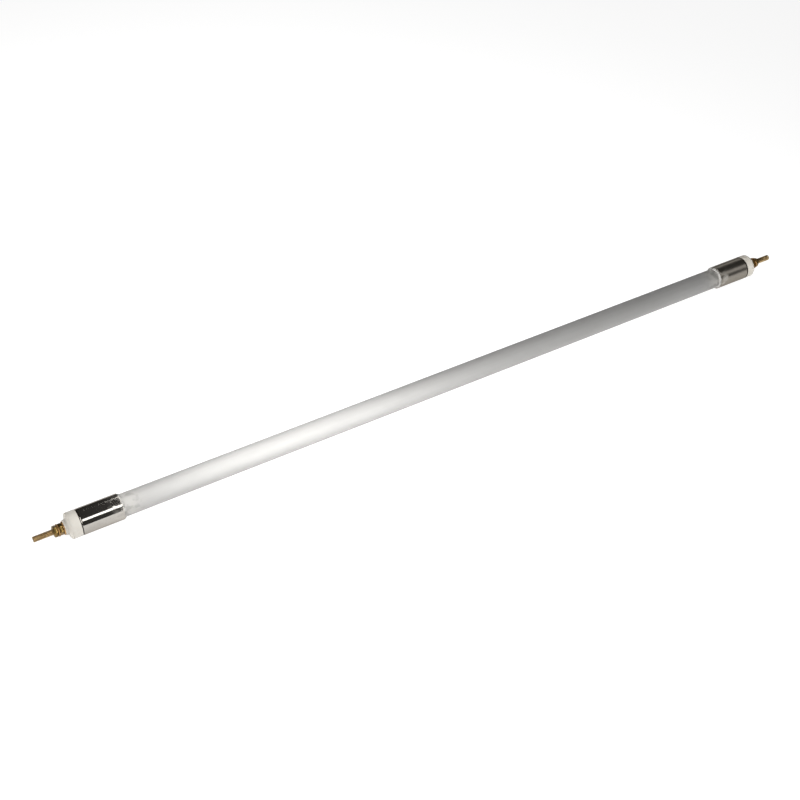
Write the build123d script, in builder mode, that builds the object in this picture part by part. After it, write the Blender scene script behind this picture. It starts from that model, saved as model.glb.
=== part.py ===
from build123d import *
from math import cos, pi, radians, sin, tan
import os

# Quartz infrared heating tube: a milky quartz tube round a heating coil, closed at each end by a
# ceramic plug in a rolled metal ferrule, with a brass terminal stud through each plug.
# Millimetres. X runs along the tube, +Z is up, and the origin is the middle of the tube's axis.

# Quartz tube
exposed_length = 596.0
tube_od = 18.0
tube_wall = 1.5
tube_depth = 23.0
tube_edge_radius = 0.5

# Ferrules and the cement that holds them
cement_thickness = 1.0
bead_length = 1.8
bead_sag = 0.25
bond_gap = 0.02
ferrule_length = 33.0
ferrule_wall = 0.5
lip_radius = 1.2
lip_gap = 0.25

# Ceramic end caps
cap_clearance = 0.05
cap_stand = 8.5
cap_edge_radius = 1.4
boss_od = 12.0
boss_height = 3.0
boss_edge_radius = 0.5
spigot_length = 10.0
spigot_clearance = 0.2
spigot_chamfer = 0.6

# Terminal studs, nuts and washers, size M5
stud_d = 5.0
stud_stand = 27.1
stud_reach = 10.0
stud_chamfer = 0.5
stud_hole_clearance = 0.15
running_clearance = 0.05
nut_across_flats = 8.0
nut_height = 3.2
nut_face_d = 7.5
nut_chamfer_angle = 30.0
lock_nut_turn = 8.0
terminal_nut_turn = 22.0
seat_washer_od = 10.6
terminal_washer_od = 10.0
washer_thickness = 1.0

# Coil plugs and the heating coil
plug_flange_rim = 0.3
plug_flange_thickness = 2.0
plug_nose_length = 18.0
plug_nose_chamfer = 0.5
plug_bore_gap = 0.5
coil_mean_radius = 4.8
coil_wire = 1.0
coil_turns = 36
coil_steps_per_turn = 10
wire_sides = 5
coil_fit = 0.05
coil_end_gap = 0.2

# Radii that follow from the sizes above
tube_r = tube_od / 2
tube_bore_r = tube_r - tube_wall
ferrule_bore_r = tube_r + cement_thickness
ferrule_r = ferrule_bore_r + ferrule_wall
cap_r = ferrule_bore_r - cap_clearance
lip_tip_r = ferrule_r - lip_radius
groove_r = lip_tip_r - lip_gap
spigot_r = tube_bore_r - spigot_clearance
stud_r = stud_d / 2
stud_hole_r = stud_r + stud_hole_clearance
running_hole_r = stud_r + running_clearance
coil_inner_r = coil_mean_radius * cos(pi / coil_steps_per_turn) - coil_wire / 2
plug_nose_r = coil_inner_r - coil_fit
plug_flange_r = coil_mean_radius + coil_wire / 2 + plug_flange_rim

# Distances from the middle of the tube, going outwards
mouth_x = exposed_length / 2
tube_end_x = mouth_x + tube_depth
ferrule_end_x = mouth_x + ferrule_length
lip_x = ferrule_end_x - lip_radius
cap_face_x = ferrule_end_x + cap_stand
boss_face_x = cap_face_x + boss_height
seat_washer_x = boss_face_x
lock_nut_x = seat_washer_x + washer_thickness
terminal_washer_x = lock_nut_x + nut_height
terminal_nut_x = terminal_washer_x + washer_thickness
stud_tip_x = cap_face_x + stud_stand

# Distances from the middle of the tube, going inwards from the end of the spigot
spigot_end_x = tube_end_x - spigot_length
inner_washer_x = spigot_end_x - washer_thickness
inner_nut_x = inner_washer_x - nut_height
plug_flange_x = inner_nut_x - plug_flange_thickness
plug_nose_x = plug_flange_x - plug_nose_length
stud_inner_x = plug_flange_x - stud_reach
plug_bore_x = stud_inner_x - plug_bore_gap
coil_half_length = plug_flange_x - coil_wire / 2 - coil_end_gap

ends = {"left": -1, "right": 1}

os.makedirs("parts", exist_ok=True)

# Milky quartz tube, cut square with fire-polished edges
with BuildPart() as quartz_tube:
    with BuildSketch(Plane.YZ):
        Circle(tube_r)
        Circle(tube_bore_r, mode=Mode.SUBTRACT)
    extrude(amount=tube_end_x, both=True)
    fillet(quartz_tube.edges().filter_by(GeomType.CIRCLE), radius=tube_edge_radius)
quartz_tube.part.label = "quartz_tube"
export_step(quartz_tube.part, "parts/quartz_tube.step")

# Heating coil: one wire wound as a helix, whose last turns grip the noses of the two coil plugs
coil_pitch = 2 * coil_half_length / coil_turns
coil_steps = coil_turns * coil_steps_per_turn


def coil_point(step):
    """A point on the wire's centre line, counted in steps from the left end."""
    angle = 2 * pi * step / coil_steps_per_turn
    x = coil_pitch * step / coil_steps_per_turn - coil_half_length
    return (x, coil_mean_radius * sin(angle), coil_mean_radius * cos(angle))


with BuildPart() as heating_coil:
    with BuildLine() as coil_path:
        Polyline(*[coil_point(step) for step in range(coil_steps + 1)])
    with BuildSketch(Plane(origin=coil_path.line @ 0, z_dir=coil_path.line % 0)):
        RegularPolygon(radius=coil_wire / 2, side_count=wire_sides)
    sweep(path=coil_path.line, transition=Transition.RIGHT)
heating_coil.part.label = "heating_coil"
export_step(heating_coil.part, "parts/heating_coil.step")


def end_plane(x, side):
    """The plane across the axis at distance x from the middle, facing outwards at that end."""
    return Plane(origin=(side * x, 0, 0), x_dir=(0, 1, 0), z_dir=(side, 0, 0))


def make_hex_nut(inner_x, side, turn):
    """A hexagon nut on the stud, its inner face at inner_x, with the corners of both faces chamfered."""
    outer_x = inner_x + nut_height
    face_r = nut_face_d / 2
    corner_r = nut_across_flats / 2 / cos(pi / 6)
    chamfer_depth = (corner_r - face_r) * tan(radians(nut_chamfer_angle))
    with BuildPart() as nut:
        with BuildSketch(end_plane(inner_x, side)):
            RegularPolygon(radius=nut_across_flats / 2, side_count=6, major_radius=False, rotation=turn)
            Circle(running_hole_r, mode=Mode.SUBTRACT)
        extrude(amount=nut_height)
        with BuildSketch(Plane.XY):
            with BuildLine():
                Polyline(
                    (side * inner_x, 0),
                    (side * inner_x, face_r),
                    (side * (inner_x + chamfer_depth), corner_r),
                    (side * (outer_x - chamfer_depth), corner_r),
                    (side * outer_x, face_r),
                    (side * outer_x, 0),
                    close=True,
                )
            make_face()
        revolve(axis=Axis.X, mode=Mode.INTERSECT)
    return nut


def make_washer(inner_x, side, outer_d, hole_r):
    """A flat washer on the stud, its inner face at inner_x."""
    with BuildPart() as washer:
        with BuildSketch(end_plane(inner_x, side)):
            Circle(outer_d / 2)
            Circle(hole_r, mode=Mode.SUBTRACT)
        extrude(amount=washer_thickness)
    return washer


nuts = {
    "inner_nut": (inner_nut_x, terminal_nut_turn),
    "lock_nut": (lock_nut_x, lock_nut_turn),
    "terminal_nut": (terminal_nut_x, terminal_nut_turn),
}
washers = {
    "inner_washer": (inner_washer_x, seat_washer_od, stud_hole_r),
    "seat_washer": (seat_washer_x, seat_washer_od, stud_hole_r),
    "terminal_washer": (terminal_washer_x, terminal_washer_od, running_hole_r),
}

for end, side in ends.items():
    # Ceramic cap: a round body in the end of the ferrule, a flange outside that is flush with it, a boss
    # on the flange and a spigot in the tube, with a groove for the ferrule's lip and a hole for the stud
    with BuildPart() as ceramic_cap:
        with BuildSketch(Plane.XY):
            with BuildLine():
                Polyline(
                    (side * spigot_end_x, stud_hole_r),
                    (side * spigot_end_x, spigot_r),
                    (side * tube_end_x, spigot_r),
                    (side * tube_end_x, cap_r),
                    (side * (lip_x - lip_gap), cap_r),
                    (side * (lip_x - lip_gap), groove_r),
                    (side * (ferrule_end_x + lip_gap), groove_r),
                    (side * (ferrule_end_x + lip_gap), ferrule_r),
                    (side * cap_face_x, ferrule_r),
                    (side * cap_face_x, boss_od / 2),
                    (side * boss_face_x, boss_od / 2),
                    (side * boss_face_x, stud_hole_r),
                    close=True,
                )
            make_face()
        revolve(axis=Axis.X)
        rings = ceramic_cap.edges().filter_by(GeomType.CIRCLE)
        rings_outwards = rings.sort_by(lambda ring: side * ring.center().X)
        boss_rim = rings_outwards[-2:].sort_by(lambda ring: ring.radius)[-1]
        body_rim = rings_outwards[-4:-2].sort_by(lambda ring: ring.radius)[-1]
        spigot_rim = rings_outwards[:2].sort_by(lambda ring: ring.radius)[-1]
        fillet(boss_rim, radius=boss_edge_radius)
        fillet(body_rim, radius=cap_edge_radius)
        chamfer(spigot_rim, length=spigot_chamfer)
    ceramic_cap.part.label = f"ceramic_cap_{end}"
    export_step(ceramic_cap.part, f"parts/ceramic_cap_{end}.step")

    def lip_point(radius, angle):
        """A point of the ferrule's rolled lip, at an angle from straight out of the tube's side."""
        turn = radians(angle)
        return (side * (lip_x + radius * sin(turn)), lip_tip_r + radius * cos(turn))

    # Ferrule: a thin drawn sleeve, its outer end rolled inwards into the cap's groove
    with BuildPart() as ferrule:
        with BuildSketch(Plane.XY):
            with BuildLine():
                outer_lip = ThreePointArc(*[lip_point(lip_radius, a) for a in (0, 45, 90)])
                inner_lip = ThreePointArc(*[lip_point(lip_radius - ferrule_wall, a) for a in (0, 45, 90)])
                Line(outer_lip @ 1, inner_lip @ 1)
                Polyline(
                    outer_lip @ 0,
                    (side * mouth_x, ferrule_r),
                    (side * mouth_x, ferrule_bore_r),
                    inner_lip @ 0,
                )
            make_face()
        revolve(axis=Axis.X)
    ferrule.part.label = f"ferrule_{end}"
    export_step(ferrule.part, f"parts/ferrule_{end}.step")

    # Cement between the tube and the ferrule, with a small bead squeezed out of the mouth
    with BuildPart() as cement_seal:
        with BuildSketch(Plane.XY):
            with BuildLine():
                bead = SagittaArc(
                    (side * (mouth_x - bead_length), tube_r + bond_gap),
                    (side * mouth_x, ferrule_bore_r - bond_gap),
                    side * bead_sag,
                )
                Polyline(
                    bead @ 1,
                    (side * (tube_end_x - bond_gap), ferrule_bore_r - bond_gap),
                    (side * (tube_end_x - bond_gap), tube_r + bond_gap),
                    bead @ 0,
                )
            make_face()
        revolve(axis=Axis.X)
    cement_seal.part.label = f"cement_seal_{end}"
    export_step(cement_seal.part, f"parts/cement_seal_{end}.step")

    # Brass terminal stud through the cap, from inside the coil plug to the free end
    with BuildPart() as terminal_stud:
        with BuildSketch(end_plane(stud_inner_x, side)):
            Circle(stud_r)
        extrude(amount=stud_tip_x - stud_inner_x)
        chamfer(terminal_stud.edges().filter_by(GeomType.CIRCLE), length=stud_chamfer)
    terminal_stud.part.label = f"terminal_stud_{end}"
    export_step(terminal_stud.part, f"parts/terminal_stud_{end}.step")

    # Coil plug: a turned steel piece on the stud's inner end, whose nose carries the coil's last turns
    with BuildPart() as coil_plug:
        with BuildSketch(Plane.XY):
            with BuildLine():
                Polyline(
                    (side * plug_nose_x, 0),
                    (side * plug_nose_x, plug_nose_r - plug_nose_chamfer),
                    (side * (plug_nose_x + plug_nose_chamfer), plug_nose_r),
                    (side * plug_flange_x, plug_nose_r),
                    (side * plug_flange_x, plug_flange_r),
                    (side * inner_nut_x, plug_flange_r),
                    (side * inner_nut_x, running_hole_r),
                    (side * plug_bore_x, running_hole_r),
                    (side * plug_bore_x, 0),
                    close=True,
                )
            make_face()
        revolve(axis=Axis.X)
    coil_plug.part.label = f"coil_plug_{end}"
    export_step(coil_plug.part, f"parts/coil_plug_{end}.step")

    # Nuts and washers in their order along the stud
    for name, (inner_x, turn) in nuts.items():
        nut = make_hex_nut(inner_x, side, turn)
        nut.part.label = f"{name}_{end}"
        export_step(nut.part, f"parts/{name}_{end}.step")
    for name, (inner_x, outer_d, hole_r) in washers.items():
        washer = make_washer(inner_x, side, outer_d, hole_r)
        washer.part.label = f"{name}_{end}"
        export_step(washer.part, f"parts/{name}_{end}.step")
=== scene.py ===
import bmesh
import bpy
from math import atan2, cos, pi, radians, sin, tan
from mathutils import Matrix, Vector, noise


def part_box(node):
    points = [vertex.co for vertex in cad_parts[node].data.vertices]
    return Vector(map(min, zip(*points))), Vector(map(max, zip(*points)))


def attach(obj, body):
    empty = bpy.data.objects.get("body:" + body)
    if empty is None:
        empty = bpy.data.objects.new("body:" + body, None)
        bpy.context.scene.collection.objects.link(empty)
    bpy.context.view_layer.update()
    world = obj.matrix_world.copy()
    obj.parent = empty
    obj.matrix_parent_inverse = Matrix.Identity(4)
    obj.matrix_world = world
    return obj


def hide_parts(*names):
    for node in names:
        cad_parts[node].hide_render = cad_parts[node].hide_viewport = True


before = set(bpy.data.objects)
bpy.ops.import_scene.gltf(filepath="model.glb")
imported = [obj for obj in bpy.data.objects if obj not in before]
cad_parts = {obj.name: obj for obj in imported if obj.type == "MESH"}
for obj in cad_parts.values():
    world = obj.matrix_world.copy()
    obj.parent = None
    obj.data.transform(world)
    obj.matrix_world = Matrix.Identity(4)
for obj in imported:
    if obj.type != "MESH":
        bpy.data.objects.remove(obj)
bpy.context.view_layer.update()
mm = 0.001

# The camera stands to the left of the tube and above it, a little over a metre off, as for a product
# picture taken with a long lens. The aim lies just left of the tube's middle and just below it.
view_azimuth = radians(-31.445)
view_elevation = radians(39.024)
view_distance = 1097.25 * mm
aim_right = -42.35 * mm
aim_up = -17.42 * mm
sensor_width = 36.0
focal_length_in_widths = 1.6122

across = Vector((cos(view_azimuth), sin(view_azimuth), 0))
backwards = Vector((
    sin(view_azimuth) * cos(view_elevation),
    -cos(view_azimuth) * cos(view_elevation),
    sin(view_elevation),
))
upwards = backwards.cross(across)
camera = bpy.data.objects.new("camera", bpy.data.cameras.new("camera"))
bpy.context.scene.collection.objects.link(camera)
camera.data.sensor_width = sensor_width
camera.data.lens = sensor_width * focal_length_in_widths
camera.location = backwards * view_distance + across * aim_right + upwards * aim_up
camera.rotation_euler = Matrix((across, upwards, backwards)).transposed().to_euler()
bpy.context.scene.camera = camera

# The floor is one pale sheet of matt paper under the ferrules, which it touches, lit a little from below as
# on a light table so that it stays white out to the corners of the picture.
floor_size = 5.0
floor_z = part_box("ferrule_left")[0].z
paper_colour = (0.28, 0.28, 0.28, 1)
paper_roughness = 0.9
paper_glow = 0.85


def node(tree, kind, inputs=None, **settings):
    """Add a shader node, set its fields, and give each input a value or link it to another node's output."""
    made = tree.nodes.new(kind)
    for field, value in settings.items():
        setattr(made, field, value)
    for socket, value in (inputs or {}).items():
        if isinstance(value, bpy.types.NodeSocket):
            tree.links.new(value, made.inputs[socket])
        else:
            made.inputs[socket].default_value = value
    return made


def new_finish(name):
    """A material with an empty Principled surface: returns the material, its node tree and its surface."""
    finish = bpy.data.materials.new(name)
    finish.use_nodes = True
    return finish, finish.node_tree, finish.node_tree.nodes["Principled BSDF"]


bpy.ops.object.select_all(action="DESELECT")
bpy.ops.mesh.primitive_plane_add(size=floor_size)
floor = bpy.context.object
floor.name = "paper_floor"
floor.data.transform(Matrix.Translation((0, 0, floor_z)))
paper, tree, surface = new_finish("paper")
surface.inputs["Base Color"].default_value = paper_colour
surface.inputs["Roughness"].default_value = paper_roughness
surface.inputs["Emission Color"].default_value = (1, 1, 1, 1)
surface.inputs["Emission Strength"].default_value = paper_glow
floor.data.materials.append(paper)

# Soft studio light: a long box and a low one beside the camera draw the narrow bright lines along the metal,
# a wide panel overhead makes the tube's broad sheen, and three more light its two ends. The dim room behind
# them leaves the dark bands in the ferrules.
room_colour = (1.0, 0.97, 0.92, 1)
room_glow = 0.05
soft_boxes = {
    "front_box": {"place": (0.05, -0.64, 0.65), "aim": (-0.25, 0, 0), "size": (0.60, 0.27), "power": 2.0},
    "low_front": {"place": (0.05, -0.58, 0.14), "aim": (-0.25, 0, 0), "size": (0.32, 0.28), "power": 4.0},
    "top_panel": {"place": (0.01, 0.00, 0.60), "aim": (-0.30, 0.00, 0), "size": (0.32, 1.20), "power": 6.8},
    "left_fill": {"place": (-1.20, -0.20, 0.30), "aim": (-0.33, 0, 0), "size": (0.70, 0.70), "power": 13.0},
    "right_glow": {"place": (1.10, -0.65, 0.65), "aim": (0.32, 0, 0), "size": (0.50, 0.50), "power": 0.8},
    "back_glow": {"place": (1.26, 0.98, 0.65), "aim": (0.32, 0, 0), "size": (0.60, 0.50), "power": 0.8},
}
world = bpy.data.worlds.new("room")
bpy.context.scene.world = world
world.use_nodes = True
world.node_tree.nodes["Background"].inputs["Color"].default_value = room_colour
world.node_tree.nodes["Background"].inputs["Strength"].default_value = room_glow
for name, box in soft_boxes.items():
    light = bpy.data.lights.new(name, "AREA")
    light.shape = "RECTANGLE"
    light.size, light.size_y = box["size"]
    light.energy = box["power"]
    lamp = bpy.data.objects.new(name, light)
    bpy.context.scene.collection.objects.link(lamp)
    lamp.location = box["place"]
    away = (Vector(box["place"]) - Vector(box["aim"])).normalized()
    along = (Vector((1, 0, 0)) - away * away.x).normalized()
    lamp.rotation_euler = Matrix((along, away.cross(along), away)).transposed().to_euler()
    lamp.visible_camera = False
bpy.context.scene.view_settings.view_transform = "Standard"

# Quartz tube: one length of milky fused quartz, drawn in the furnace and cut square, with fire-polished
# ends. The wall is full of fine bubbles, so it glows softly and hides the coil, and the drawing leaves
# faint streaks along it. It is cemented into the ferrules.
ends = {"left": -1, "right": 1}
tube_end_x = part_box("quartz_tube")[1].x
tube_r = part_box("quartz_tube")[1].y
mouth_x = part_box("ferrule_right")[0].x
tube_wall = 1.5 * mm
bore_r = tube_r - tube_wall
tube_facets = 96
tube_rings = 80
tube_edge = 0.5 * mm
draw_ripple = 0.03 * mm
ripples_along = 14
ripples_across = 30
hazed_length = 23 * mm
quartz_grey = (0.140, 0.139, 0.137, 1)
quartz_pale = (0.158, 0.157, 0.155, 1)
streak_grey = (0.156, 0.156, 0.153, 1)
haze_dark = (0.095, 0.090, 0.080, 1)
haze_white = (0.24, 0.23, 0.213, 1)
smooth_below = radians(30)
same_place = 0.001 * mm
same_ring = 0.01 * mm


def draw_line(name, points):
    """An open line through points, each extruded from the one before, starting from a single vertex."""
    bpy.ops.object.select_all(action="DESELECT")
    bpy.ops.mesh.primitive_plane_add(size=mm, location=points[0])
    line = bpy.context.object
    line.name = name
    line.data.name = name
    bpy.ops.object.transform_apply(location=True, rotation=True, scale=True)
    bpy.ops.object.mode_set(mode="EDIT")
    bpy.ops.mesh.select_mode(type="VERT")
    bpy.ops.mesh.select_all(action="SELECT")
    bpy.ops.mesh.merge(type="CENTER")
    for start, end in zip(points, points[1:]):
        step = Vector(end) - Vector(start)
        bpy.ops.mesh.extrude_vertices_move(TRANSFORM_OT_translate={"value": step})
    bpy.ops.object.mode_set(mode="OBJECT")
    return line


def close_up(piece):
    """Merge a piece's seams and face it outwards."""
    bpy.ops.object.mode_set(mode="EDIT")
    bpy.ops.mesh.select_all(action="SELECT")
    bpy.ops.mesh.remove_doubles(threshold=same_place)
    bpy.ops.mesh.normals_make_consistent(inside=False)
    bpy.ops.object.mode_set(mode="OBJECT")


def turned(name, outline, facets):
    """A turned piece: a closed outline of (x, radius) points, spun round the tube's axis."""
    points = [(x, 0, radius) for x, radius in outline]
    piece = draw_line(name, points + points[:1])
    bpy.ops.object.mode_set(mode="EDIT")
    bpy.ops.mesh.select_all(action="SELECT")
    bpy.ops.mesh.spin(steps=facets, angle=2 * pi, center=(0, 0, 0), axis=(1, 0, 0))
    bpy.ops.object.mode_set(mode="OBJECT")
    close_up(piece)
    return piece


def round_rings(piece, rings, width, segments=3):
    """Bevel the circular edges that lie at each (x, radius) in rings."""
    bpy.ops.object.mode_set(mode="EDIT")
    bpy.ops.mesh.select_mode(type="EDGE")
    bpy.ops.mesh.select_all(action="DESELECT")
    mesh = bmesh.from_edit_mesh(piece.data)
    for edge in mesh.edges:
        edge.select = any(
            all(abs(v.co.x - x) < same_ring and abs(v.co.yz.length - radius) < same_ring for v in edge.verts)
            for x, radius in rings
        )
    bmesh.update_edit_mesh(piece.data)
    bpy.ops.mesh.bevel(offset=width, segments=segments, affect="EDGES")
    bpy.ops.object.mode_set(mode="OBJECT")


def sink(piece, depth_at):
    """Move each vertex straight towards the axis by the depth that depth_at gives for its place."""
    for vertex in piece.data.vertices:
        outwards = Vector((0, vertex.co.y, vertex.co.z)).normalized()
        vertex.co -= outwards * depth_at(vertex.co)


def settle(piece, body, slot, finish, *nodes):
    """Shade a finished piece, give it its material, and put it on its body in place of its CAD nodes."""
    bpy.ops.object.select_all(action="DESELECT")
    piece.select_set(True)
    bpy.context.view_layer.objects.active = piece
    bpy.ops.object.shade_smooth_by_angle(angle=smooth_below)
    piece.data.materials.append(finish)
    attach(piece, body)
    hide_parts(*nodes)


def spaced(start, end, count):
    """Values from start to end, in so many equal steps."""
    return [start + (end - start) * step / count for step in range(count + 1)]


def place_noise(tree, stretch, detail=4.0):
    """Noise from 0 to 1 over the object's own place, with so many waves a metre along X, Y and Z."""
    place = node(tree, "ShaderNodeTexCoord").outputs["Object"]
    waves = node(tree, "ShaderNodeMapping", {"Vector": place, "Scale": stretch}).outputs[0]
    return node(tree, "ShaderNodeTexNoise", {"Vector": waves, "Scale": 1.0, "Detail": detail}).outputs["Fac"]


def ramp(tree, value, low, high, to_low=0.0, to_high=1.0):
    """Map a value smoothly from the span low..high to another span."""
    spans = {"Value": value, "From Min": low, "From Max": high, "To Min": to_low, "To Max": to_high}
    return node(tree, "ShaderNodeMapRange", spans, interpolation_type="SMOOTHSTEP").outputs[0]


def blend(tree, amount, first, second):
    """Blend two colours, each a value or another node's output."""
    return node(tree, "ShaderNodeMix", {0: amount, 6: first, 7: second}, data_type="RGBA").outputs[2]


def times(tree, first, second):
    """Multiply two numbers, each a value or another node's output."""
    return node(tree, "ShaderNodeMath", {0: first, 1: second}, operation="MULTIPLY").outputs[0]


def bump(tree, surface, *layers):
    """Give a surface relief from layers of (height, depth in metres), one on top of another."""
    normal = None
    for height, depth in layers:
        inputs = {"Strength": 1.0, "Distance": depth, "Height": height}
        if normal:
            inputs["Normal"] = normal
        normal = node(tree, "ShaderNodeBump", inputs).outputs[0]
    tree.links.new(normal, surface.inputs["Normal"])


def plus(tree, first, second):
    """Add two numbers, each a value or another node's output."""
    return node(tree, "ShaderNodeMath", {0: first, 1: second}, operation="ADD").outputs[0]


def along_tube(tree):
    """The place along the tube, in metres from its middle."""
    place = node(tree, "ShaderNodeTexCoord").outputs["Object"]
    return node(tree, "ShaderNodeSeparateXYZ", {0: place}).outputs["X"]


def from_middle(tree):
    """The distance along the tube from its middle, in metres, the same at both ends."""
    return node(tree, "ShaderNodeMath", {0: along_tube(tree)}, operation="ABSOLUTE").outputs[0]


tube_outline = [(x, tube_r) for x in spaced(-tube_end_x, tube_end_x, tube_rings)]
tube_outline += [(x, bore_r) for x in spaced(tube_end_x, -tube_end_x, tube_rings)]
tube = turned("milky_quartz_tube", tube_outline, tube_facets)
tube_rims = [(x, radius) for x in (-tube_end_x, tube_end_x) for radius in (tube_r, bore_r)]
round_rings(tube, tube_rims, tube_edge)
sink(tube, lambda place: draw_ripple * abs(
    noise.noise(Vector((place.x * ripples_along, place.y * ripples_across, place.z * ripples_across)))
))

quartz, tree, surface = new_finish("milky_quartz")
streaks = place_noise(tree, (3, 420, 420))
clouds = place_noise(tree, (26, 90, 90), 5.0)
blotches = place_noise(tree, (160, 200, 200), 3.0)
end_haze = ramp(tree, from_middle(tree), mouth_x - hazed_length, mouth_x)
clouded = blend(tree, ramp(tree, clouds, 0.3, 0.7), quartz_grey, quartz_pale)
streaked = blend(tree, times(tree, streaks, 0.4), clouded, streak_grey)
haze = blend(tree, ramp(tree, blotches, 0.40, 0.56), haze_dark, haze_white)
tree.links.new(blend(tree, times(tree, end_haze, 0.8), streaked, haze), surface.inputs["Base Color"])
tree.links.new(ramp(tree, streaks, 0.2, 0.8, 0.51, 0.59), surface.inputs["Roughness"])
round_tube = node(tree, "ShaderNodeTangent", direction_type="RADIAL", axis="X").outputs[0]
tree.links.new(round_tube, surface.inputs["Tangent"])
surface.inputs["Anisotropic"].default_value = 0.83
surface.inputs["IOR"].default_value = 1.9
surface.inputs["Specular IOR Level"].default_value = 1.0
surface.inputs["Specular Tint"].default_value = (1, 0.985, 0.955, 1)
surface.inputs["Subsurface Weight"].default_value = 0.4
surface.inputs["Subsurface Radius"].default_value = (1.0, 1.0, 0.95)
surface.inputs["Subsurface Scale"].default_value = 3 * mm
bubbles = place_noise(tree, (2200, 2200, 2200), 2.0)
bump(tree, surface, (bubbles, 0.01 * mm), (streaks, 0.03 * mm))
settle(tube, "tube_body", "milky_quartz", quartz, "quartz_tube")

# Heating coil: resistance wire wound hot into a helix along the bore, grey-brown with its own oxide. Its
# last turns grip the noses of the two coil plugs, so it hangs between them clear of the quartz.
coil_low, coil_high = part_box("heating_coil")
wire_r = 0.5 * mm
wire_sides = 10
coil_turns = 36
coil_steps = 32
coil_r = coil_high.z - wire_r
coil_pitch = (coil_high.x - coil_low.x - 2 * wire_r) / coil_turns
wire_brown = (0.13, 0.11, 0.095, 1)
wire_grey = (0.26, 0.24, 0.22, 1)

bpy.ops.object.select_all(action="DESELECT")
bpy.ops.mesh.primitive_circle_add(
    vertices=wire_sides, radius=wire_r, location=(coil_low.x + wire_r, 0, coil_r), rotation=(pi / 2, 0, 0)
)
coil = bpy.context.object
coil.name = "resistance_wire_coil"
coil.data.name = coil.name
bpy.ops.object.transform_apply(location=True, rotation=True, scale=True)
winding = coil.modifiers.new("winding", "SCREW")
winding.axis = "X"
winding.angle = 2 * pi
winding.screw_offset = coil_pitch
winding.iterations = coil_turns
winding.steps = coil_steps
winding.render_steps = coil_steps
bpy.ops.object.modifier_apply(modifier=winding.name)
bpy.ops.object.mode_set(mode="EDIT")
bpy.ops.mesh.select_all(action="DESELECT")
bpy.ops.mesh.select_mode(type="EDGE")
bpy.ops.mesh.select_non_manifold()
bpy.ops.mesh.edge_face_add()
bpy.ops.object.mode_set(mode="OBJECT")
close_up(coil)

wire, tree, surface = new_finish("oxidised_wire")
scale_patches = place_noise(tree, (240, 500, 500))
scaled = blend(tree, ramp(tree, scale_patches, 0.35, 0.65), wire_brown, wire_grey)
tree.links.new(scaled, surface.inputs["Base Color"])
tree.links.new(ramp(tree, scale_patches, 0.3, 0.7, 0.65, 0.4), surface.inputs["Roughness"])
surface.inputs["Metallic"].default_value = 0.8
bump(tree, surface, (place_noise(tree, (3000, 6000, 6000)), 0.01 * mm))
settle(coil, "tube_body", "resistance_wire", wire, "heating_coil")

# Coil plugs: turned steel pieces screwed on the inner ends of the studs. A flange stops the coil, whose last
# turns are wound on the long nose, and the tool has left its fine rings on every face.
coil_fit = 0.05 * mm
plug_nose_r = coil_r - wire_r - coil_fit
plug_flange_thickness = 2.0 * mm
plug_bore_r = 2.55 * mm
plug_bore_end_x = 294.3 * mm
plug_edge = 0.25 * mm
plug_facets = 64
steel_bright = (0.55, 0.54, 0.52, 1)
steel_stained = (0.30, 0.27, 0.24, 1)

steel, tree, surface = new_finish("turned_steel")
tool_rings = place_noise(tree, (9000, 40, 40), 2.0)
stains = place_noise(tree, (180, 180, 180))
stained = blend(tree, ramp(tree, stains, 0.4, 0.7), steel_bright, steel_stained)
tree.links.new(stained, surface.inputs["Base Color"])
tree.links.new(ramp(tree, stains, 0.3, 0.7, 0.28, 0.5), surface.inputs["Roughness"])
surface.inputs["Metallic"].default_value = 1.0
bump(tree, surface, (tool_rings, 0.01 * mm))

for end, side in ends.items():
    plug_low, plug_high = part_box(f"coil_plug_{end}")
    nose_x, flange_x = sorted((abs(plug_low.x), abs(plug_high.x)))
    shoulder_x = flange_x - plug_flange_thickness
    flange_r = plug_high.y
    plug = turned(f"turned_coil_plug_{end}", [
        (side * nose_x, 0),
        (side * nose_x, plug_nose_r),
        (side * shoulder_x, plug_nose_r),
        (side * shoulder_x, flange_r),
        (side * flange_x, flange_r),
        (side * flange_x, plug_bore_r),
        (side * plug_bore_end_x, plug_bore_r),
        (side * plug_bore_end_x, 0),
    ], plug_facets)
    plug_rims = [(side * nose_x, plug_nose_r), (side * shoulder_x, flange_r), (side * flange_x, flange_r)]
    round_rings(plug, plug_rims, plug_edge)
    settle(plug, "tube_body", "plug_steel", steel, f"coil_plug_{end}")

# Cement: white refractory paste that fills the gap between tube and ferrule and sets rock hard. What was
# squeezed out of the mouth is wiped into a rough bead, with brush marks and pin holes.
bead_length = 1.8 * mm
bead_steps = 8
bead_waver = 0.5 * mm
bead_waves_round = 3
bead_waves_along = 40
bead_facets = 128
bond_gap = 0.02 * mm
foot_r = tube_r + bond_gap
cement_white = (0.32, 0.313, 0.298, 1)
cement_damp = (0.20, 0.195, 0.185, 1)

cement, tree, surface = new_finish("white_cement")
grains = place_noise(tree, (1400, 1400, 1400))
damp_patches = place_noise(tree, (130, 260, 260))
dampened = blend(tree, ramp(tree, damp_patches, 0.42, 0.62), cement_white, cement_damp)
tree.links.new(dampened, surface.inputs["Base Color"])
surface.inputs["Roughness"].default_value = 0.85
surface.inputs["Specular IOR Level"].default_value = 0.2
bump(tree, surface, (grains, 0.12 * mm), (place_noise(tree, (500, 500, 500)), 0.2 * mm))


def bead_waviness(place):
    """How far the bead's foot creeps along the tube at a place round it, as a share of its waver."""
    angle = atan2(place.y, place.z)
    round_x, round_y = bead_waves_round * cos(angle), bead_waves_round * sin(angle)
    return noise.noise(Vector((round_x, round_y, bead_waves_along * place.x)))


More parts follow.
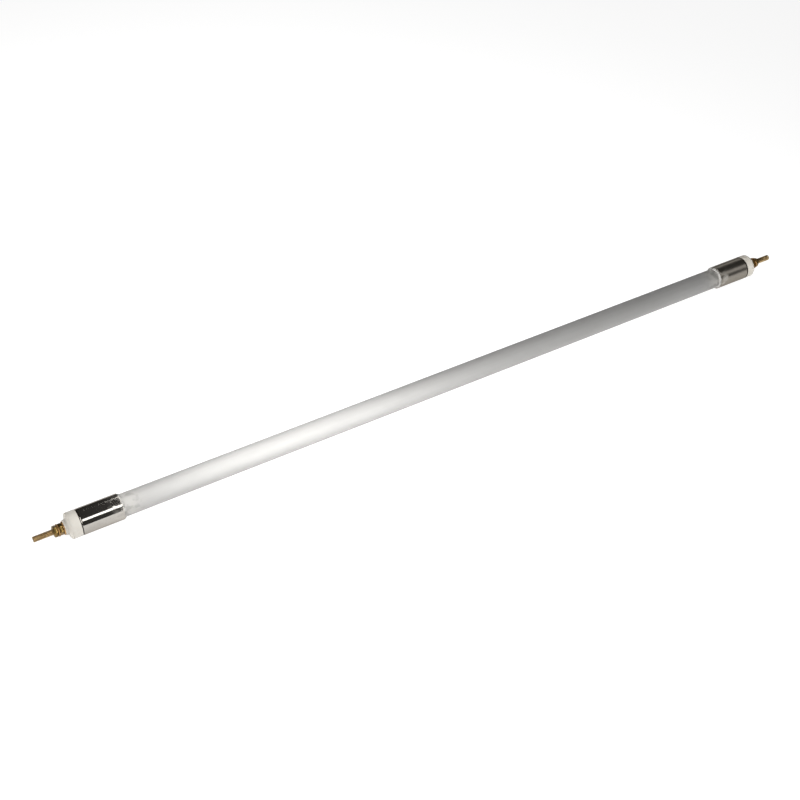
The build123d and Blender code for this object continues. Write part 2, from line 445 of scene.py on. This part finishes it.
for end, side in ends.items():
    cement_low, cement_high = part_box(f"cement_seal_{end}")
    bead_x, inner_x = sorted((abs(cement_low.x), abs(cement_high.x)))
    cement_r = cement_high.y
    swell = [step / bead_steps * pi / 2 for step in range(bead_steps + 1)]
    outline = [(side * inner_x, cement_r)]
    outline += [
        (side * (bead_x + bead_length * (1 - sin(a))), foot_r + (cement_r - foot_r) * cos(a)) for a in swell
    ]
    outline += [(side * inner_x, foot_r)]
    seal = turned(f"cement_bead_{end}", outline, bead_facets)
    for vertex in seal.data.vertices:
        depth = max(0, 1 - (abs(vertex.co.x) - bead_x) / bead_length)
        vertex.co.x -= side * bead_waver * depth * bead_waviness(vertex.co)
    settle(seal, "tube_body", "sealing_cement", cement, f"cement_seal_{end}")

# Ferrules: thin sleeves drawn from steel strip and bright nickel plated. The outer end is rolled over into
# the groove of the ceramic cap, and cement smears and finger marks dull the plating towards the mouth.
ferrule_end_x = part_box("ferrule_right")[1].x
ferrule_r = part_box("ferrule_right")[1].y
ferrule_wall = 0.5 * mm
sleeve_r = ferrule_r - ferrule_wall
lip_radius = 1.2 * mm
inner_lip_radius = lip_radius - ferrule_wall
lip_x = ferrule_end_x - lip_radius
lip_r = ferrule_r - lip_radius
lip_steps = 10
lip_turns = [step / lip_steps * pi / 2 for step in range(lip_steps + 1)]
lip_shade_depth = 0.8 * mm
smear_reach = 12 * mm
ferrule_mouth_edge = 0.12 * mm
mouth_edge_loop = 0.2 * mm
ferrule_rings = 24
ferrule_facets = 128
ferrule_waver = 0.03 * mm
wavers_along = 60
wavers_across = 90
waver_shift = 9
wide_smear = {"centre": Vector((303.0, -9.7, 4.0)) * mm, "reach": 5.2 * mm}
small_smear = {"centre": Vector((-304.6, -7.2, 7.7)) * mm, "reach": 2.0 * mm}
nickel_bright = (0.40, 0.38, 0.35, 1)
nickel_fingered = (0.355, 0.335, 0.305, 1)
nickel_heated = (0.255, 0.235, 0.205, 1)
smear_white = (0.42, 0.405, 0.38, 1)
speck_brown = (0.18, 0.16, 0.14, 1)
gap_grime_and_painted_shadow = (0.03, 0.025, 0.02, 1)


def close_to(tree, centre, reach):
    """From 1 at a place on the piece down to 0 at its reach."""
    place = node(tree, "ShaderNodeTexCoord").outputs["Object"]
    apart = node(tree, "ShaderNodeVectorMath", {0: place, 1: centre}, operation="DISTANCE")
    return ramp(tree, apart.outputs["Value"], reach, reach / 3)


nickel, tree, surface = new_finish("bright_nickel")
distance = from_middle(tree)
near_mouth = ramp(tree, distance, mouth_x + smear_reach, mouth_x)
wear = ramp(tree, along_tube(tree), 0.0, mouth_x)
cement_marks = ramp(tree, place_noise(tree, (190, 260, 260), 5.0), 0.45, 0.68)
spread_smears = times(tree, times(tree, cement_marks, near_mouth), ramp(tree, wear, 0.0, 1.0, 0.3, 0.8))
dabs = plus(tree, close_to(tree, **wide_smear), close_to(tree, **small_smear))
dabbed = times(tree, dabs, ramp(tree, place_noise(tree, (500, 500, 500), 3.0), 0.30, 0.62, 0.1, 0.75))
smears = node(tree, "ShaderNodeMath", {0: spread_smears, 1: dabbed}, operation="MAXIMUM").outputs[0]
# Painted shadow with some grime: the rolled lip's tip is painted near black where it turns into the narrow
# gap at the cap's groove.
lip_painted_shadow_and_grime = ramp(tree, distance, ferrule_end_x - lip_shade_depth, ferrule_end_x - lip_shade_depth / 4)
specks = ramp(tree, place_noise(tree, (900, 900, 900), 2.0), 0.70, 0.74)
finger_marks = ramp(tree, place_noise(tree, (70, 120, 120), 3.0), 0.45, 0.75)
fingered = blend(tree, finger_marks, nickel_bright, nickel_fingered)
heat_tinted = blend(tree, wear, fingered, nickel_heated)
smeared = blend(tree, times(tree, smears, 0.7), heat_tinted, smear_white)
specked = blend(tree, times(tree, specks, 0.7), smeared, speck_brown)
tree.links.new(blend(tree, lip_painted_shadow_and_grime, specked, gap_grime_and_painted_shadow), surface.inputs["Base Color"])
polish = ramp(tree, finger_marks, 0.0, 1.0, 0.08, 0.13)
dull_patches = plus(tree, times(tree, smears, 0.35), times(tree, wear, 0.22))
tree.links.new(plus(tree, polish, dull_patches), surface.inputs["Roughness"])
metal = node(tree, "ShaderNodeMath", {0: 1.0, 1: times(tree, smears, 0.5)}, operation="SUBTRACT").outputs[0]
tree.links.new(metal, surface.inputs["Metallic"])
surface.inputs["Specular Tint"].default_value = (0.55, 0.53, 0.50, 1)
bump(tree, surface, (place_noise(tree, (40, 160, 160), 2.0), 0.04 * mm), (smears, 0.03 * mm))

for end, side in ends.items():
    outline = [(mouth_x, ferrule_r)]
    outline += [(x, ferrule_r) for x in spaced(mouth_x + mouth_edge_loop, lip_x, ferrule_rings)][:-1]
    outline += [(lip_x + lip_radius * sin(a), lip_r + lip_radius * cos(a)) for a in lip_turns]
    outline += [
        (lip_x + inner_lip_radius * sin(a), lip_r + inner_lip_radius * cos(a)) for a in reversed(lip_turns)
    ]
    outline += [(mouth_x, sleeve_r)]
    ferrule = turned(f"rolled_ferrule_{end}", [(side * x, radius) for x, radius in outline], ferrule_facets)
    round_rings(ferrule, [(side * mouth_x, ferrule_r), (side * mouth_x, sleeve_r)], ferrule_mouth_edge)
    sink(ferrule, lambda place: ferrule_waver * abs(noise.noise(Vector((
        place.x * wavers_along + side * waver_shift, place.y * wavers_across, place.z * wavers_across
    )))))
    settle(ferrule, "tube_body", "bright_ferrule", nickel, f"ferrule_{end}")

# Ceramic caps: white steatite, pressed and fired, with a round body in the ferrule, a boss under the nuts
# and a spigot in the tube. The surface is slightly uneven and unglazed, with specks and a small dent in
# one rim, painted with a dark mark.
cap_r = 9.95 * mm
cap_rim = 1.4 * mm
boss_r = 6.0 * mm
boss_height = 3.0 * mm
boss_rim = 0.5 * mm
boss_foot = 2.2 * mm
foot_steps = 6
foot_turns = [step / foot_steps * pi / 2 for step in range(foot_steps + 1)]
stud_hole_r = 2.65 * mm
spigot_r = 7.3 * mm
spigot_rim = 0.6 * mm
groove_r = 9.05 * mm
groove_gap = 0.25 * mm
groove_x = ferrule_end_x + groove_gap
groove_shade = 0.15 * mm
cap_unevenness = 0.05 * mm
uneven_spots = 200
uneven_shift = 5
cap_rings = 8
cap_facets = 128
rim_dent_place = Vector((-339.4, -1.8, -8.9)) * mm
rim_dent_reach = 2.4 * mm
rim_dent_depth = 0.4 * mm
far_white = (0.445, 0.422, 0.375, 1)
far_whitest = (0.475, 0.452, 0.405, 1)
near_white_with_painted_shade = (0.365, 0.346, 0.312, 1)
near_whitest_with_painted_shade = (0.392, 0.374, 0.340, 1)
cap_speck_brown = (0.34, 0.30, 0.26, 1)
dark_mark_grey = (0.10, 0.095, 0.09, 1)

steatite, tree, surface = new_finish("steatite")
cap_specks = ramp(tree, place_noise(tree, (700, 700, 700), 2.0), 0.68, 0.74)
cap_tone = ramp(tree, place_noise(tree, (90, 90, 90)), 0.35, 0.65)
# A dark mark is painted over the small dent in the near cap's lower rim.
dark_mark_mask = close_to(tree, rim_dent_place, rim_dent_reach)
# Painted shadow with some grime: the cap is painted near black at the edge of its groove, in the narrow gap
# under the ferrule's lip.
groove_painted_shadow_and_grime = ramp(tree, from_middle(tree), groove_x + groove_shade, groove_x)
# Painted shade: the near cap is painted a little darker than the far one, to offset the strong fill light at
# that end.
painted_shade_on_near_cap = ramp(tree, along_tube(tree), 0.0, -mouth_x)
far_cap = blend(tree, cap_tone, far_white, far_whitest)
near_cap_with_painted_shade = blend(tree, cap_tone, near_white_with_painted_shade, near_whitest_with_painted_shade)
cap_tone_with_painted_shade = blend(tree, painted_shade_on_near_cap, far_cap, near_cap_with_painted_shade)
specked = blend(tree, times(tree, cap_specks, 0.35), cap_tone_with_painted_shade, cap_speck_brown)
dark_marked_tone = blend(tree, times(tree, dark_mark_mask, 0.9), specked, dark_mark_grey)
tree.links.new(blend(tree, groove_painted_shadow_and_grime, dark_marked_tone, gap_grime_and_painted_shadow), surface.inputs["Base Color"])
surface.inputs["Roughness"].default_value = 0.6
surface.inputs["Specular IOR Level"].default_value = 0.25
surface.inputs["Subsurface Weight"].default_value = 0.2
surface.inputs["Subsurface Radius"].default_value = (1.0, 0.9, 0.8)
surface.inputs["Subsurface Scale"].default_value = mm
pores = place_noise(tree, (1800, 1800, 1800))
dimples = place_noise(tree, (260, 260, 260))
bump(tree, surface, (pores, 0.02 * mm), (dimples, 0.08 * mm))

for end, side in ends.items():
    cap_low, cap_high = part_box(f"ceramic_cap_{end}")
    spigot_x, boss_x = sorted((abs(cap_low.x), abs(cap_high.x)))
    flange_r = cap_high.y
    face_x = boss_x - boss_height
    outline = [
        (spigot_x, stud_hole_r),
        (spigot_x, spigot_r),
        (tube_end_x, spigot_r),
        (tube_end_x, cap_r),
        (lip_x - groove_gap, cap_r),
        (lip_x - groove_gap, groove_r),
        (groove_x, groove_r),
    ]
    outline += [(x, flange_r) for x in spaced(groove_x, face_x, cap_rings)]
    outline += [(face_x + boss_foot * (1 - cos(a)), boss_r + boss_foot * (1 - sin(a))) for a in foot_turns]
    outline += [(boss_x, boss_r), (boss_x, stud_hole_r)]
    cap = turned(f"ceramic_end_{end}", [(side * x, radius) for x, radius in outline], cap_facets)
    round_rings(cap, [(side * face_x, flange_r)], cap_rim, segments=6)
    round_rings(cap, [(side * boss_x, boss_r)], boss_rim, segments=4)
    round_rings(cap, [(side * spigot_x, spigot_r)], spigot_rim, segments=1)
    sink(cap, lambda place: cap_unevenness * abs(noise.noise(Vector((
        place.x * uneven_spots, place.y * uneven_spots + side * uneven_shift, place.z * uneven_spots
    )))))
    sink(cap, lambda place: rim_dent_depth * max(0, 1 - (place - rim_dent_place).length / rim_dent_reach))
    settle(cap, "tube_body", "end_ceramic", steatite, f"ceramic_cap_{end}")

# Terminal studs: brass rod with a rolled M5 thread from end to end, right-handed at both ends of the tube,
# and a turned chamfer at each tip. The crests are bright and the roots keep dirt and dark tarnish.
thread_pitch = 0.8 * mm
root_r = 2.06 * mm
crest_r = 2.49 * mm
thread_profile = {0: root_r, 0.09: root_r, 0.34: crest_r, 0.46: crest_r, 0.71: root_r, 0.8: root_r}
thread_steps = 24
tip_chamfer = 0.6 * mm
blank_facets = 48
brass_bright = (0.62, 0.47, 0.26, 1)
brass_tarnished = (0.42, 0.30, 0.15, 1)
root_dirt = (0.09, 0.055, 0.025, 1)

brass, tree, surface = new_finish("threaded_brass")
place = node(tree, "ShaderNodeTexCoord").outputs["Object"]
flat_place = node(tree, "ShaderNodeVectorMath", {0: place, 1: (0, 1, 1)}, operation="MULTIPLY").outputs[0]
height = node(tree, "ShaderNodeVectorMath", {0: flat_place}, operation="LENGTH").outputs["Value"]
in_root = ramp(tree, height, crest_r, root_r)
tarnish = ramp(tree, place_noise(tree, (160, 260, 260)), 0.40, 0.68)
tarnished = blend(tree, tarnish, brass_bright, brass_tarnished)
tree.links.new(blend(tree, times(tree, in_root, 0.7), tarnished, root_dirt), surface.inputs["Base Color"])
tree.links.new(ramp(tree, tarnish, 0.0, 1.0, 0.26, 0.40), surface.inputs["Roughness"])
surface.inputs["Metallic"].default_value = 1.0
bump(tree, surface, (place_noise(tree, (1200, 2600, 2600)), 0.01 * mm))


def cut_to(piece, blank):
    """Keep only what a piece shares with a blank, and remove the blank."""
    shared = piece.modifiers.new("shared", "BOOLEAN")
    shared.operation = "INTERSECT"
    shared.solver = "EXACT"
    shared.object = blank
    bpy.context.view_layer.objects.active = piece
    bpy.ops.object.modifier_apply(modifier=shared.name)
    bpy.data.objects.remove(blank)


for end, side in ends.items():
    stud_low, stud_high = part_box(f"terminal_stud_{end}")
    stud_r = stud_high.y
    turns = int((stud_high.x - stud_low.x) / thread_pitch) + 2
    start_x = stud_low.x - thread_pitch / 2
    stud = draw_line(f"threaded_stud_{end}", [(start_x + x * mm, 0, r) for x, r in thread_profile.items()])
    thread = stud.modifiers.new("thread", "SCREW")
    thread.axis = "X"
    thread.angle = 2 * pi
    thread.screw_offset = thread_pitch
    thread.iterations = turns
    thread.steps = thread_steps
    thread.render_steps = thread_steps
    bpy.ops.object.modifier_apply(modifier=thread.name)
    close_up(stud)
    bpy.ops.object.mode_set(mode="EDIT")
    for cut_x in (stud_low.x, stud_high.x):
        bpy.ops.mesh.select_all(action="SELECT")
        bpy.ops.mesh.bisect(
            plane_co=(cut_x, 0, 0), plane_no=(1, 0, 0), use_fill=True,
            clear_inner=cut_x == stud_low.x, clear_outer=cut_x == stud_high.x,
        )
    bpy.ops.object.mode_set(mode="OBJECT")
    close_up(stud)
    blank = turned(f"stud_blank_{end}", [
        (stud_low.x - mm, 0),
        (stud_low.x - mm, stud_r - tip_chamfer - mm),
        (stud_low.x + tip_chamfer, stud_r),
        (stud_high.x - tip_chamfer, stud_r),
        (stud_high.x + mm, stud_r - tip_chamfer - mm),
        (stud_high.x + mm, 0),
    ], blank_facets)
    cut_to(stud, blank)
    settle(stud, "tube_body", "stud_brass", brass, f"terminal_stud_{end}")

# Washers: brass discs blanked from strip, rounded over on their outer edges and darkened by heat and by
# handling. One is behind each cap, one on each boss, and one loose under each outer nut.
washer_edge = 0.2 * mm
washer_facets = 64
fixed_hole_r = 2.65 * mm
loose_hole_r = 2.55 * mm
washers = {
    "inner_washer": ("tube_body", fixed_hole_r),
    "seat_washer": ("tube_body", fixed_hole_r),
    "terminal_washer": ("terminal_washer_body_{}", loose_hole_r),
}
washer_brown = (0.46, 0.27, 0.11, 1)
washer_dark = (0.13, 0.07, 0.025, 1)

dark_brass, tree, surface = new_finish("darkened_brass")
heat_tint = ramp(tree, place_noise(tree, (300, 300, 300)), 0.35, 0.65)
tree.links.new(blend(tree, heat_tint, washer_brown, washer_dark), surface.inputs["Base Color"])
tree.links.new(ramp(tree, heat_tint, 0.0, 1.0, 0.28, 0.45), surface.inputs["Roughness"])
surface.inputs["Metallic"].default_value = 1.0
bump(tree, surface, (place_noise(tree, (900, 900, 900)), 0.02 * mm))

for end, side in ends.items():
    for name, (body, hole_r) in washers.items():
        low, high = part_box(f"{name}_{end}")
        outline = [(low.x, hole_r), (low.x, high.y), (high.x, high.y), (high.x, hole_r)]
        washer = turned(f"brass_{name}_{end}", outline, washer_facets)
        round_rings(washer, [(low.x, high.y), (high.x, high.y)], washer_edge)
        settle(washer, body.format(end), "washer_brass", dark_brass, f"{name}_{end}")

# Nuts: brass M5 hexagon nuts, chamfered on both faces and countersunk at the thread. The lock nut clamps the
# stud to the cap, the inner nut pulls against it, and the terminal nut is the loose one.
nut_across_flats = 8.0 * mm
nut_face_r = 3.75 * mm
nut_chamfer_angle = radians(30)
nut_corner_r = nut_across_flats / 2 / cos(pi / 6)
nut_chamfer = (nut_corner_r - nut_face_r) * tan(nut_chamfer_angle)
nut_hole_r = 2.55 * mm
countersink = 0.35 * mm
nut_edge = 0.07 * mm
nut_edge_segments = 2
nut_edge_angle = radians(20)
nut_facets = 72
nuts = {
    "inner_nut": ("tube_body", 22),
    "lock_nut": ("tube_body", 8),
    "terminal_nut": ("terminal_nut_body_{}", 22),
}
nut_yellow = (0.215, 0.138, 0.046, 1)
nut_grime = (0.08, 0.056, 0.018, 1)

nut_brass, tree, surface = new_finish("nut_brass")
grime = ramp(tree, place_noise(tree, (260, 260, 260), 5.0), 0.42, 0.70)
tree.links.new(blend(tree, grime, nut_yellow, nut_grime), surface.inputs["Base Color"])
tree.links.new(ramp(tree, grime, 0.0, 1.0, 0.30, 0.48), surface.inputs["Roughness"])
surface.inputs["Metallic"].default_value = 1.0
bump(tree, surface, (place_noise(tree, (1500, 1500, 1500)), 0.01 * mm))

for end, side in ends.items():
    for name, (body, turn) in nuts.items():
        low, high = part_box(f"{name}_{end}")
        nut = turned(f"hexagon_{name}_{end}", [
            (low.x, nut_hole_r + countersink),
            (low.x, nut_face_r),
            (low.x + nut_chamfer, nut_corner_r),
            (high.x - nut_chamfer, nut_corner_r),
            (high.x, nut_face_r),
            (high.x, nut_hole_r + countersink),
            (high.x - countersink, nut_hole_r),
            (low.x + countersink, nut_hole_r),
        ], nut_facets)
        bpy.ops.object.select_all(action="DESELECT")
        bpy.ops.mesh.primitive_cylinder_add(
            vertices=6, radius=nut_corner_r, depth=high.x - low.x + mm, rotation=(0, pi / 2, 0),
            location=((low.x + high.x) / 2, 0, 0),
        )
        prism = bpy.context.object
        bpy.ops.object.transform_apply(location=True, rotation=True, scale=True)
        bpy.ops.transform.rotate(
            value=radians(turn), orient_axis="X", orient_type="GLOBAL", center_override=(0, 0, 0)
        )
        bpy.ops.object.transform_apply(location=True, rotation=True, scale=True)
        cut_to(nut, prism)
        worn = nut.modifiers.new("worn_edges", "BEVEL")
        worn.width = nut_edge
        worn.segments = nut_edge_segments
        worn.limit_method = "ANGLE"
        worn.angle_limit = nut_edge_angle
        bpy.ops.object.modifier_apply(modifier=worn.name)
        settle(nut, body.format(end), "nut_brass", nut_brass, f"{name}_{end}")
